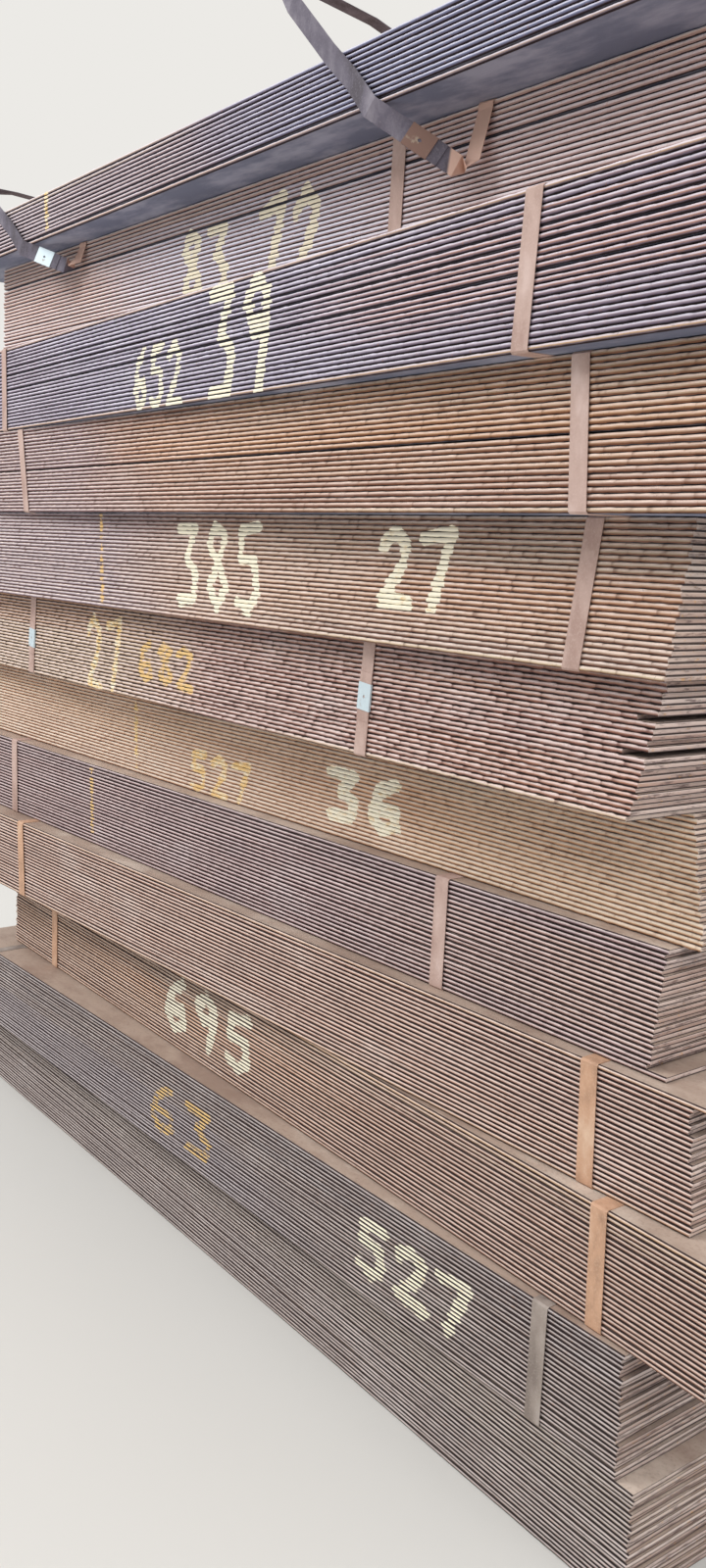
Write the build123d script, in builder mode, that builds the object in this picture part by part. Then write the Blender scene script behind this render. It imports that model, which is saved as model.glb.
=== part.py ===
"""A stack of steel plates: twelve bundles of hot-rolled plate, each tied with steel straps.

Millimetres. +X runs along the plates to the right, +Y away from the front, +Z up. The origin is the middle of
the lowest bundle's underside, on the floor.
"""
from build123d import *
from collections import namedtuple
from math import sin
import os

# One plate: the mill leaves its two long edges rounded, its two ends are sheared square
plate_length = 2438.0
plate_width = 1219.0
plate_thickness = 7.6
plate_bevel = 2.4  # how far the rounding of a long edge reaches in
plate_gap = 0.45  # scale and slight waves keep two plates this far apart, on average

# How unevenly the plates of a bundle lie
end_scatter = 4.0  # in and out at the sheared ends
edge_scatter = 0.6  # in and out at the long edges

# Steel strapping
strap_width = 32.0
strap_thickness = 0.9
strap_play = 0.1  # between a strap and the flat of a plate
strap_stand_off = 1.8  # between a strap and the long edges
strap_bend = 2.6  # how far a strap's bend reaches in at a bundle's corner
strap_overlap = 82.0  # how far a strap's two ends lie on each other

# Crimped seals
seal_length = 46.0
seal_thickness = 0.8
seal_play = 0.1  # between a seal and the strap in it
seal_lip = 6.0  # how far a seal's flanges reach in behind the strap
seal_notch = 3.0  # depth of the crimped notches in its sides
seal_notch_length = 8.0
seal_notch_spacing = 22.0

# A bundle: how many plates, how far it is slid along X and set back along Y, its turn in degrees (the right end
# goes back), how far its top stands past its bottom at the ends, and which plates lie on a wide gap, with how
# many times as wide as the others it is
Bundle = namedtuple("Bundle", "plates slide set_back turn end_lean wide_gaps", defaults=({},))
bundles = {
    "bundle_01": Bundle(24, 0.0, 0.0, 0.0, 4.0),
    "bundle_02": Bundle(25, -44.0, -22.0, 1.0, -3.0),
    "bundle_03": Bundle(24, 120.0, 28.0, -1.0, 10.0),
    "bundle_04": Bundle(24, -1.0, 4.0, 2.0, -20.0),
    "bundle_05": Bundle(24, -92.0, 38.0, 1.4, 17.0),
    "bundle_06": Bundle(24, -57.0, 75.0, 1.0, -31.0),
    "bundle_07": Bundle(24, -20.0, -20.0, -1.2, 48.0),
    "bundle_08": Bundle(25, 41.0, -58.0, -1.0, 30.0),
    "bundle_09": Bundle(24, 180.0, -103.0, -2.7, 8.0, {12: 8}),
    "bundle_10": Bundle(24, 190.0, -125.0, -3.8, 12.0, {12: 12, 16: 14, 18: 8}),
    "bundle_11": Bundle(24, 248.0, -20.0, 0.3, 8.0, {18: 12}),
    "bundle_12": Bundle(12, 100.0, -110.0, -1.0, 6.0, {1: 12}),
}
top_bundle = "bundle_12"
next_bundle = "bundle_11"

# Single plates that lie out of line at the ends: bundle, plate number from below, extra slide
stray_plates = {
    ("bundle_07", 11): -44.0,
    ("bundle_07", 17): -38.0,
    ("bundle_05", 0): 32.0,
    ("bundle_04", 23): 64.0,
}

# The two ends of a bundle, along X
left, right = -1, 1

# A tight strap: its bundle, the end that it is nearer to, how far in from that end it lies, how far its top leans
# along X, and where its seal is
Strap = namedtuple("Strap", "bundle end inset lean seal_side seal_height", defaults=("back", 0.5))
straps = {
    "strap_02_right": Strap("bundle_02", right, 164.0, 2.0),
    "strap_02_left": Strap("bundle_02", left, 200.0, 0.0),
    "strap_03_right": Strap("bundle_03", right, 213.0, -5.0),
    "strap_03_left": Strap("bundle_03", left, 269.0, 4.0),
    "strap_04_right": Strap("bundle_04", right, 188.0, -6.0),
    "strap_04_left": Strap("bundle_04", left, 312.0, -8.0),
    "strap_05_right": Strap("bundle_05", right, 464.0, 4.0),
    "strap_05_left": Strap("bundle_05", left, 271.0, 0.0),
    "strap_07_right": Strap("bundle_07", right, 621.0, 19.0, "front", 0.52),
    "strap_07_left": Strap("bundle_07", left, 392.0, 22.0, "front", 0.46),
    "strap_08_right": Strap("bundle_08", right, 163.0, 30.0),
    "strap_08_left": Strap("bundle_08", left, 135.0, 6.0),
    "strap_09_right": Strap("bundle_09", right, 237.0, -11.0),
    "strap_09_left": Strap("bundle_09", left, 290.0, -38.0),
    "strap_10_right": Strap("bundle_10", right, 305.0, 14.0),
    "strap_10_left": Strap("bundle_10", left, 169.0, 0.0),
    "strap_11": Strap("bundle_11", right, 889.0, 8.0),
}

# A slack strap of the top bundle, by its distances in from the nearer end: where it crosses the upper and the
# lower front edge, where its hanging fold is, where it runs back under the bundle. Then how far the fold hangs
# below the bundle and in front of the next one, how high and how far back the loose arch over the top stands, and
# its seal's place between the lower front edge and the fold
Slack = namedtuple("Slack", "end crest edge fold foot fold_drop fold_out arch reach seal_at")
slack_straps = {
    "strap_12_right": Slack(right, 769.0, 653.0, 535.0, 529.0, 98.0, 38.0, 140.0, 560.0, 0.55),
    "strap_12_left": Slack(left, 314.0, 471.0, 591.0, 607.0, 54.0, 30.0, 60.0, 560.0, 0.5),
}
slack_fold = 9.0  # how large the hanging fold of a slack strap is
slack_clearance = 5.0  # between a slack strap's middle and the edges that it hangs in front of
slack_parting = 1.3  # between the middles of its two ends in its seal

pitch = plate_thickness + plate_gap
bundle_gap = strap_thickness + 2 * strap_play
strap_front = plate_width / 2 + strap_stand_off  # from a bundle's middle to the inside of a tight strap


def level(bundle, plate):
    """Height of a plate's underside above its bundle's underside. Wide gaps take their room from the others."""
    widths = [bundle.wide_gaps.get(above, 1) for above in range(1, bundle.plates)]
    share = plate_gap * (bundle.plates - 1) / sum(widths)
    return plate * plate_thickness + share * sum(widths[:plate])


def height(bundle):
    return level(bundle, bundle.plates - 1) + plate_thickness


def slide_of(name, plate):
    """How far one plate is slid along X within its bundle: a lean, an uneven scatter and the strays."""
    bundle = bundles[name]
    lean = bundle.end_lean * (plate / (bundle.plates - 1) - 0.5)
    scatter = end_scatter * (0.6 * sin(2.4 * plate + bundle.slide) + 0.4 * sin(5.3 * plate + bundle.plates))
    return lean + scatter + stray_plates.get((name, plate), 0.0)


def set_back_of(name, plate):
    """How far one plate is set back along Y within its bundle."""
    bundle = bundles[name]
    return edge_scatter * (0.7 * sin(1.9 * plate + bundle.set_back) + 0.3 * sin(4.1 * plate))


# Each bundle's own plane: its origin is the middle of its underside, its x runs along the plates
planes = {}
floor_level = 0.0
for name, bundle in bundles.items():
    planes[name] = Plane(origin=(bundle.slide, bundle.set_back, floor_level)).rotated((0, 0, bundle.turn))
    floor_level += height(bundle) + bundle_gap


def place_along(end, inset):
    """Place along a bundle of a point that lies so far in from one of its ends."""
    return end * (plate_length / 2 - inset)


def section_plane(name, x):
    """The plane across a bundle at x along it: its own x is the bundle's y, its own y is up."""
    plane = planes[name]
    return Plane(origin=plane.from_local_coords(Vector(x, 0, 0)), x_dir=plane.y_dir, z_dir=plane.x_dir)


def make_seal(label, middle, layers):
    """A sleeve folded round the strap: its seam is open on the side of the plates, its sides are notched.

    middle lies on the inside of the strap, with x across the strap, y along it and z away from the plates.
    """
    width = strap_width + 2 * (seal_play + seal_thickness)
    depth = layers + 2 * (seal_play + seal_thickness)
    foot = Plane(origin=middle.from_local_coords(Vector(0, -seal_length / 2, 0)), x_dir=middle.x_dir,
                 z_dir=middle.y_dir)
    with BuildPart() as seal:
        with BuildSketch(foot):
            with Locations((0, -layers / 2)):
                Rectangle(width, depth)
                Rectangle(width - 2 * seal_thickness, depth - 2 * seal_thickness, mode=Mode.SUBTRACT)
            with Locations((0, seal_play + seal_thickness / 2)):
                Rectangle(width - 2 * seal_lip, 2 * seal_thickness, mode=Mode.SUBTRACT)
        extrude(amount=seal_length)
        with BuildSketch(middle.offset(-depth)):
            with GridLocations(width, seal_notch_spacing, 2, 2):
                with BuildLine():
                    Polyline(
                        (-seal_notch, 0),
                        (0, -seal_notch_length / 2),
                        (seal_notch, 0),
                        (0, seal_notch_length / 2),
                        close=True,
                    )
                make_face()
        extrude(amount=3 * depth, mode=Mode.SUBTRACT)
    seal.part.label = label
    export_step(seal.part, "parts/" + label + ".step")


def facet(*corners):
    """A flat face between three or four points."""
    return Face(Wire.make_polygon(corners))


def make_band(sections):
    """A solid strap through a row of sections, each its four corners: outer left and right, inner right and left.

    A steel strap twists a little as it hangs, so each stretch is two flat triangles with the fold between them on
    the same diagonal outside and inside, which keeps the strap's thickness.
    """
    faces = [facet(*sections[0]), facet(*reversed(sections[-1]))]
    for (a, b, c, d), (far_a, far_b, far_c, far_d) in zip(sections, sections[1:]):
        faces += [facet(a, b, far_b), facet(a, far_b, far_a), facet(d, far_c, c), facet(d, far_d, far_c)]
        faces += [facet(b, c, far_c), facet(b, far_c, far_b), facet(d, a, far_a), facet(d, far_a, far_d)]
    return Solid(Shell(faces))


def heading(points, number):
    """The direction of a route at one of its points: half-way between its two runs there."""
    near = points[max(number - 1, 0):number + 2]
    return sum(((end - start).normalized() for start, end in zip(near, near[1:])), Vector())


os.makedirs("parts", exist_ok=True)

# The section of a plate, with its rounded long edges as bevels
with BuildSketch() as plate_section:
    Rectangle(plate_width, plate_thickness)
    chamfer(plate_section.vertices(), length=plate_bevel)

# The bundles of plates
for name, bundle in bundles.items():
    with BuildPart() as plates:
        for plate in range(bundle.plates):
            with BuildSketch(section_plane(name, slide_of(name, plate) - plate_length / 2)):
                with Locations((set_back_of(name, plate), level(bundle, plate) + plate_thickness / 2)):
                    add(plate_section.sketch)
        extrude(amount=plate_length)
    plates.part.label = name
    export_step(plates.part, "parts/" + name + ".step")

# The tight straps, each a closed band with its two ends lying on each other at the seal
for name, strap in straps.items():
    bundle = bundles[strap.bundle]
    plane = planes[strap.bundle]
    place = place_along(strap.end, strap.inset)
    with BuildSketch() as loop:
        Rectangle(2 * strap_front, height(bundle) + 2 * strap_play)
        chamfer(loop.vertices(), length=strap_bend)
    with BuildPart() as band:
        with BuildSketch(section_plane(strap.bundle, place)):
            with Locations((0, height(bundle) / 2)):
                add(loop.sketch)
            offset(amount=strap_thickness, kind=Kind.INTERSECTION)
            with Locations((0, height(bundle) / 2)):
                add(loop.sketch, mode=Mode.SUBTRACT)
        extrude(amount=strap_width / 2 + abs(strap.lean), both=True)
        # Its sides lean by as much as its top stands to the right of its bottom
        low = -strap_play - strap_thickness
        high = height(bundle) + strap_play + strap_thickness
        with BuildSketch(Plane(plane.origin, x_dir=plane.x_dir, z_dir=-plane.y_dir)):
            with BuildLine():
                Polyline(
                    (place - strap.lean / 2 - strap_width / 2, low),
                    (place - strap.lean / 2 + strap_width / 2, low),
                    (place + strap.lean / 2 + strap_width / 2, high),
                    (place + strap.lean / 2 - strap_width / 2, high),
                    close=True,
                )
            make_face()
        extrude(amount=plate_width, both=True, mode=Mode.INTERSECT)
        # The outer end, laid over the inner one and leaning with the strap
        side = 1 if strap.seal_side == "back" else -1
        seal_place = Vector(
            place + strap.lean * (strap.seal_height - 0.5),
            side * strap_front,
            strap.seal_height * height(bundle),
        )
        outward = plane.y_dir * side
        upward = (plane.x_dir * strap.lean + plane.z_dir * height(bundle)).normalized()
        seal_plane = Plane(origin=plane.from_local_coords(seal_place), x_dir=upward.cross(outward), z_dir=outward)
        with BuildSketch(seal_plane.offset(strap_thickness)):
            Rectangle(strap_width, strap_overlap)
        extrude(amount=strap_thickness)
    band.part.label = name
    export_step(band.part, "parts/" + name + ".step")
    make_seal("seal" + name[len("strap"):], seal_plane, 2 * strap_thickness)

# The slack straps: from their seal up over the top, down the back, under the bundle and out to the hanging fold
top = planes[top_bundle]
below = planes[next_bundle]
over = height(bundles[top_bundle]) + strap_play + strap_thickness / 2
under = -strap_play - strap_thickness / 2
middle = strap_front + strap_thickness / 2  # from the bundle's middle to the middle of a strap at its face
front = -middle - slack_clearance
bend = strap_bend + strap_thickness
ledge_clearance = edge_scatter + 1.5 * strap_thickness
faces_front, faces_back = Vector(0, -1, 0), Vector(0, 1, 0)
faces_up, faces_down = Vector(0, 0, 1), Vector(0, 0, -1)
faces_right = Vector(0.57, -0.78, 0.13)  # the hanging stretch has turned towards the right end
for name, slack in slack_straps.items():
    crest_x, edge_x, fold_x, foot_x = (
        place_along(slack.end, inset) for inset in (slack.crest, slack.edge, slack.fold, slack.foot)
    )
    # The next bundle's upper front edge, where the strap comes out from between the two
    ledge_place = Vector(foot_x + bundles[top_bundle].slide - bundles[next_bundle].slide, -plate_width / 2, 0)
    ledge = top.to_local_coords(below.from_local_coords(ledge_place)).Y
    edge = Vector(edge_x, front - slack_clearance, under - slack_clearance)
    fold = Vector(fold_x, ledge - slack.fold_out, -slack.fold_drop)
    down = (fold - edge).normalized()
    seal_middle = edge + (fold - edge) * slack.seal_at
    seal_outward = (faces_right - down * faces_right.dot(down)).normalized()
    outer = seal_outward * slack_parting
    landing = crest_x - 0.3 * slack.arch
    back_high = landing + 0.2 * (foot_x - landing)
    back_low = landing + 0.5 * (foot_x - landing)

    def over_top(sideways, back, rise):
        """A point of the loose arch, by shares of its height and of how far back it reaches."""
        return Vector(crest_x - sideways * slack.arch, front + back * slack.reach, over + rise * slack.arch)

    # Each station: its point, which way the strap's flat faces there, and its direction where that is a flat run's
    along_top = Vector(back_high - landing, middle - bend - (front + slack.reach), 0)
    along_back = Vector(back_low - back_high, 0, under - over + 2 * bend)
    along_under = Vector(foot_x - back_low, ledge + bend - middle, 0)
    ledge_top = ledge - ledge_clearance
    stations = [
        (seal_middle + down * strap_overlap * 0.5 + outer, faces_right, None),
        (seal_middle - down * strap_overlap * 0.4 + outer, faces_right, None),
        (edge + outer, faces_right + faces_front * 3, None),
        (Vector((crest_x + edge_x) / 2, front, over / 2), faces_front, None),
        (Vector(crest_x, front, over), faces_front, None),
        (over_top(0.78, 0, 0.72), faces_front, None),
        (over_top(1.02, 0.02, 0.97), faces_front + faces_up, None),
        (over_top(1.1, 0.12, 1.05), faces_up, None),
        (over_top(1.0, 0.32, 0.88), faces_up, None),
        (over_top(0.7, 0.57, 0.4), faces_up, None),
        (over_top(0.42, 0.8, 0.07), faces_up, None),
        (over_top(0.3, 1, 0), faces_up, along_top),
        (Vector(back_high, middle - bend, over), faces_up, along_top),
        (Vector(back_high, middle, over - bend), faces_back, along_back),
        (Vector(back_low, middle, under + bend), faces_back, along_back),
        (Vector(back_low, middle - bend, under), faces_down, along_under),
        (Vector(foot_x, ledge_top + 0.85 * plate_bevel, under), faces_down, along_under),
        (Vector(foot_x, ledge_top - 0.6 * plate_bevel, under - 1.45 * plate_bevel), faces_back, None),
        (Vector(foot_x, ledge_top - 0.7 * plate_bevel, under - 5 * plate_bevel), faces_back, None),
        (Vector(foot_x, fold.Y + 1.6 * slack_fold, fold.Z + 1.5 * slack_fold), faces_back, None),
        (Vector(fold_x + 0.2 * slack_fold, fold.Y + 0.7 * slack_fold, fold.Z), faces_down, None),
        (fold - down * slack_fold, faces_right, None),
        (seal_middle + down * strap_overlap * 0.4, faces_right, None),
        (seal_middle - down * strap_overlap * 0.45, faces_right, None),
    ]
    sections = []
    for number, (point, facing, along) in enumerate(stations):
        along = along or heading([station[0] for station in stations], number)
        across = along.cross(facing).normalized()
        outward = across.cross(along).normalized()
        sections.append([
            top.from_local_coords(point + across * side * strap_width / 2 + outward * layer * strap_thickness / 2)
            for side, layer in ((-1, 1), (1, 1), (1, -1), (-1, -1))
        ])
    with BuildPart() as band:
        add(make_band(sections))
    band.part.label = name
    export_step(band.part, "parts/" + name + ".step")
    seal_inside = top.from_local_coords(seal_middle - seal_outward * strap_thickness / 2)
    seal_plane = Plane(
        origin=seal_inside,
        x_dir=top.from_local_coords(seal_outward.cross(down)) - top.origin,
        z_dir=top.from_local_coords(seal_outward) - top.origin,
    )
    make_seal("seal" + name[len("strap"):], seal_plane, slack_parting + strap_thickness)
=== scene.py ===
# %% [markdown]
# A stack of steel plates
#
# Twelve bundles of hot-rolled plate, strapped with steel bands and left out in the weather. The eye first
# reads the pile of nearly 300 plate edges, each a rounded, slightly lumpy bead with a dark groove under it.
# The construction is fixed in the frame, so this script only dresses it: rounded mill edges, sheared ends,
# rust, mill scale, paint marks, painted highlights and shade on the beads, and steel for the straps.

# %% Load the frame
import math
import random
from functools import partial

import bpy
import numpy as np
from mathutils import Matrix, Vector


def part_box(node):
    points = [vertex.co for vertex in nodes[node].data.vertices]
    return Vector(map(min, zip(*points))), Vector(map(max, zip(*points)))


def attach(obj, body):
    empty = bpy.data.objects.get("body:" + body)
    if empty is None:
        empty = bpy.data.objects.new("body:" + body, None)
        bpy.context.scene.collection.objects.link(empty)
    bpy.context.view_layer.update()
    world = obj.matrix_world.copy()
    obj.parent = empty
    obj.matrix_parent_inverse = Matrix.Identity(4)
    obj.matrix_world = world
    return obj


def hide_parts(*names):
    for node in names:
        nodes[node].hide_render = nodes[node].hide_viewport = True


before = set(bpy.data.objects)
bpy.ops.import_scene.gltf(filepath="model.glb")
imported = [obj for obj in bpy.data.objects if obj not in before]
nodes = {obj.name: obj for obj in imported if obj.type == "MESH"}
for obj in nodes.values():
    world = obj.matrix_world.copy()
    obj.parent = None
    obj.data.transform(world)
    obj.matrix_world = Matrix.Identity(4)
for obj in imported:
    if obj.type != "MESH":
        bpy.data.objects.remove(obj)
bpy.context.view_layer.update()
MM = 0.001

# %% [markdown]
# The camera stands low in front of the right half of the stack and looks along it, tilted down a little and
# rolled by two degrees, as a phone is held. Euler angles would do but are hard to read, so its matrix is put
# together from the directions of the view, and each angle keeps its plain meaning.

# %% Camera
LENS = 30.825  # millimetres
SENSOR = 36  # millimetres, the long side of an upright picture
NEAR_CLIP = 0.05
CAMERA_PLACE = Vector((2.332, -1.9855, 1.5216))
PITCH = math.radians(10.18)
ROLL = math.radians(2.02)
HEADING = math.radians(36.84)  # from -X towards +Y

ahead = Vector((-math.cos(HEADING), math.sin(HEADING), 0))
sideways = Vector((math.sin(HEADING), math.cos(HEADING), 0))
upright = Vector((0, 0, 1))
forward = ahead * math.cos(PITCH) - upright * math.sin(PITCH)
camera_up = ahead * math.sin(PITCH) + upright * math.cos(PITCH)
view_right = sideways * math.cos(ROLL) + camera_up * math.sin(ROLL)
view_up = camera_up * math.cos(ROLL) - sideways * math.sin(ROLL)
view_turn = Matrix((view_right, view_up, -forward)).transposed().to_4x4()

camera_data = bpy.data.cameras.new("camera")
camera_data.lens = LENS
camera_data.sensor_width = SENSOR
camera_data.clip_start = NEAR_CLIP
camera = bpy.data.objects.new("camera", camera_data)
camera.matrix_world = Matrix.Translation(CAMERA_PLACE) @ view_turn
bpy.context.scene.collection.objects.link(camera)
bpy.context.scene.camera = camera
print("the camera looks along", [round(v, 2) for v in forward])

# %% [markdown]
# Two helpers serve every finish. One turns a hex colour, as a painter would note it, into the linear numbers
# of the renderer. The other adds a node with its settings and links in one line: links without a name go to
# the inputs in use, in order, and a node given as a link stands for its first output in use. Wired by hand,
# the trees would look the same, but nobody could read them from top to bottom.

# %% Colour and node helpers
def colour(hex_value):
    """An sRGB hex value as linear red, green, blue and alpha."""
    parts = [int(hex_value[i:i + 2], 16) / 255 for i in (1, 3, 5)]
    return [p / 12.92 if p <= 0.04045 else ((p + 0.055) / 1.055) ** 2.4 for p in parts] + [1.0]


def add_node(tree, kind, *links, **named_links):
    """Adds a node of a kind, or of a kind with settings. Each link is a value, an output or a whole node."""
    kind, settings = (kind, {}) if isinstance(kind, str) else kind
    node = tree.nodes.new("ShaderNode" + kind)
    for name, value in settings.items():
        setattr(node, name, value)
    wanted = list(zip([socket for socket in node.inputs if socket.enabled], links))
    wanted += [(node.inputs[name.replace("_", " ")], value) for name, value in named_links.items()]
    for socket, value in wanted:
        if isinstance(value, bpy.types.Node):
            value = next(output for output in value.outputs if output.enabled)
        if isinstance(value, bpy.types.NodeSocket):
            tree.links.new(value, socket)
        else:
            socket.default_value = value
    return node


def new_material(name):
    """A material with nothing in it yet, and what adds a node to it."""
    material = bpy.data.materials.new(name)
    material.use_nodes = True
    material.node_tree.nodes.clear()
    return material, partial(add_node, material.node_tree)


# Kinds of node with their settings
PLUS, MINUS, TIMES, TIMES_PLUS, ABSOLUTE, LARGER = (
    ("Math", {"operation": operation})
    for operation in ("ADD", "SUBTRACT", "MULTIPLY", "MULTIPLY_ADD", "ABSOLUTE", "MAXIMUM")
)
STEP = ("MapRange", {"interpolation_type": "SMOOTHSTEP"})
MIX = ("Mix", {"data_type": "RGBA"})

# %% [markdown]
# The frame holds each bundle as plain solids. Their places could be typed in again, but then this script
# wouldn't fit once a size changes, so the middle, the turn and the size of each plate are read back from its
# corners.

# %% Read where the plates lie
SAME = 0.01 * MM  # points closer than this are at one place
DECIMALS = 5  # heights in metres are the same when they agree to this
LEVELS = 4  # heights at which a solid plate has corners: its faces, and where its round edges end


def points_of(mesh):
    found = np.empty(len(mesh.vertices) * 3, np.float32)
    mesh.vertices.foreach_get("co", found)
    return found.reshape(-1, 3)


def read_plates(node):
    """Each plate of a bundle from below: its middle, its turn about Z and its size."""
    points = points_of(node.data).astype(float)
    heights = sorted(set(np.round(points[:, 2], DECIMALS)))
    plates = []
    for start in range(0, len(heights), LEVELS):
        rows = heights[start:start + LEVELS]
        rim = points[np.abs(points[:, 2] - rows[1]) < SAME][:, :2]
        rim = rim[np.argsort(rim[:, 0])]
        left, right = rim[:len(rim) // 2], rim[len(rim) // 2:]
        middle = (left.mean(0) + right.mean(0)) / 2
        along = right.mean(0) - left.mean(0)
        turn = math.atan2(along[1], along[0])
        across = left @ np.array([-math.sin(turn), math.cos(turn)])
        size = np.linalg.norm(along), across.max() - across.min(), rows[-1] - rows[0]
        plates.append({
            "middle": Vector((middle[0], middle[1], (rows[0] + rows[-1]) / 2)),
            "turn": turn,
            "size": [float(value) for value in size],
        })
    return plates


bundle_names = sorted(n for n in nodes if n.startswith("bundle"))
plates_of = {name: read_plates(nodes[name]) for name in bundle_names}
length, width, thickness = plates_of[bundle_names[0]][0]["size"]
print(sum(map(len, plates_of.values())), "plates of", round(length, 4), round(width, 4), round(thickness, 4))

# %% [markdown]
# A hot-rolled plate with mill edges has two long edges that the rolls leave round, and two ends that a shear
# cuts square. A box with a bump texture could stand for it, but hundreds of beads side by side are what this
# stack is, so the round edge is real: the four long corners of a box are bevelled until they meet. Edges are
# selected by where they lie, because a script has no mouse.

# %% Select edges by their place
ON_FACE = 0.4  # share of the thickness, beyond which a point lies on a flat face
FROM_FACE_TO_FACE = 0.9  # share of the thickness
MARGIN = 0.1 * MM
flat_edge = width / 2 - thickness / 2  # how far from the middle the flat faces end


def select_edges(wanted):
    """Leaves the plate in edit mode, with just those edges selected whose two points pass the test."""
    bpy.ops.object.mode_set(mode="EDIT")
    bpy.ops.mesh.select_mode(type="EDGE")
    bpy.ops.mesh.select_all(action="DESELECT")
    bpy.ops.object.mode_set(mode="OBJECT")
    points = plate.data.vertices
    for edge in plate.data.edges:
        edge.select = wanted(points[edge.vertices[0]].co, points[edge.vertices[1]].co)
    bpy.ops.object.mode_set(mode="EDIT")


def runs_along(a, b):
    return abs(a.y - b.y) < SAME and abs(a.z - b.z) < SAME


def at_end(a, b):
    return min(abs(a.x), abs(b.x)) > length / 2 - SAME


def on_faces(a, b):
    return min(abs(a.z), abs(b.z)) > ON_FACE * thickness


# %% Round the long edges
JOIN = 0.05 * MM  # where two bevels meet in the middle of the edge, their points become one

bpy.ops.object.select_all(action="DESELECT")
bpy.ops.mesh.primitive_cube_add(size=1)
plate = bpy.context.object
plate.name = "plate"
plate.scale = (length, width, thickness)
bpy.ops.object.transform_apply(location=False, rotation=False, scale=True)
select_edges(runs_along)
bpy.ops.mesh.bevel(offset=thickness / 2, segments=2, profile=0.5, affect="EDGES", clamp_overlap=False)
bpy.ops.mesh.select_all(action="SELECT")
bpy.ops.mesh.remove_doubles(threshold=JOIN)
bpy.ops.object.mode_set(mode="OBJECT")
print("the rounded box has", len(plate.data.vertices), "points")

# %% [markdown]
# A lumpy edge needs points that can move. A Subdivision modifier would add them all over, also on faces that
# stay flat. So only edges along the plate are cut, finer on the front, which is seen close, and each sheared
# end on its own, parted from its round sides first, so that no cut runs on round the bead.

# %% Cut the plate finer
LONG_CUTS = 33  # in every edge that runs along the plate
FRONT_CUTS = 7  # more in each of those, on the front alone
END_CUTS = 21  # across a sheared end

bpy.ops.object.mode_set(mode="EDIT")
for end in (-1, 1):
    for side in (-1, 1):
        bpy.ops.mesh.select_mode(type="VERT")
        bpy.ops.mesh.select_all(action="DESELECT")
        bpy.ops.object.mode_set(mode="OBJECT")
        for point in plate.data.vertices:
            at_corner = point.co.x * end > 0 and abs(point.co.y - side * flat_edge) < MARGIN
            point.select = at_corner and abs(point.co.z) > ON_FACE * thickness
        bpy.ops.object.mode_set(mode="EDIT")
        bpy.ops.mesh.vert_connect()

select_edges(runs_along)
bpy.ops.mesh.subdivide(number_cuts=LONG_CUTS)
select_edges(lambda a, b: runs_along(a, b) and a.y < -flat_edge + MARGIN)
bpy.ops.mesh.subdivide(number_cuts=FRONT_CUTS)
select_edges(lambda a, b: at_end(a, b) and abs(a.y - b.y) > width / 2)
bpy.ops.mesh.subdivide(number_cuts=END_CUTS)
select_edges(lambda a, b: at_end(a, b) and abs(a.z - b.z) > FROM_FACE_TO_FACE * thickness)
bpy.ops.mesh.subdivide(number_cuts=1)

# %% [markdown]
# A plate is soft over its beads, and crisp where they meet its flat faces and round its sheared ends. Small
# bevels would do that too, but marking those lines sharp needs no extra face.

# %% Smooth beads and sharp ends
bpy.ops.object.mode_set(mode="OBJECT")
bpy.ops.object.shade_smooth()
select_edges(lambda a, b: runs_along(a, b) and on_faces(a, b) and abs(abs(a.y) - flat_edge) < MARGIN)
bpy.ops.mesh.mark_sharp()
select_edges(
    lambda a, b: at_end(a, b) and (on_faces(a, b) or min(abs(a.y), abs(b.y)) > flat_edge - MARGIN)
)
bpy.ops.mesh.mark_sharp()
bpy.ops.object.mode_set(mode="OBJECT")


def triangles(mesh):
    return sum(len(face.vertices) - 2 for face in mesh.polygons)


print("one plate has", len(plate.data.vertices), "points and", triangles(plate.data), "triangles")

# %% [markdown]
# Each point of a plate carries notes for later steps: how far round the bead it lies, how high its plate lies
# in the bundle, a random number of that plate, and how far a lump stands out there. A finish can read such a
# note and a modifier a vertex group, so the shape and its colours and painted shade agree, which two unrelated
# noises never would.

# %% Notes on the plate's points
ACROSS, LIP, RISE, TONE, LUMP = "across", "lip", "rise", "tone", "lump"
BEAD, SHEAR, WAVES = "bead", "shear", "waves"
ROUND_MARGIN = 0.2 * MM
TORN, CUT = 1.0, 0.5  # how much of the tear a sheared end has from its middle down, and above it
LOWER_PART = 0.1  # share of the thickness, up to which the end is torn
DEPTH_OF_WAVES = 3  # metres of Y that count as one along the waves, so that front and back differ
HEIGHT_IN_WAVES = 0.5  # share of a point's Z across them


def give_note(mesh, name, values):
    note = mesh.attributes.get(name) or mesh.attributes.new(name, "FLOAT", "POINT")
    note.data.foreach_set("value", np.asarray(values, np.float32))


places = points_of(plate.data)
lip_share = places[:, 2] / (thickness / 2)
give_note(plate.data, LIP, lip_share)
give_note(plate.data, ACROSS, np.abs(lip_share))
on_bead = np.abs(places[:, 1]) > flat_edge - MARGIN
on_round = np.nonzero(np.abs(places[:, 1]) > flat_edge + ROUND_MARGIN)[0]
on_shear = np.nonzero(np.abs(places[:, 0]) > length / 2 - SAME)[0]
plate.vertex_groups.new(name=BEAD)
shear = plate.vertex_groups.new(name=SHEAR)
for index in on_shear:
    shear.add([int(index)], TORN if places[index, 2] < LOWER_PART * thickness else CUT, "REPLACE")

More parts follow.
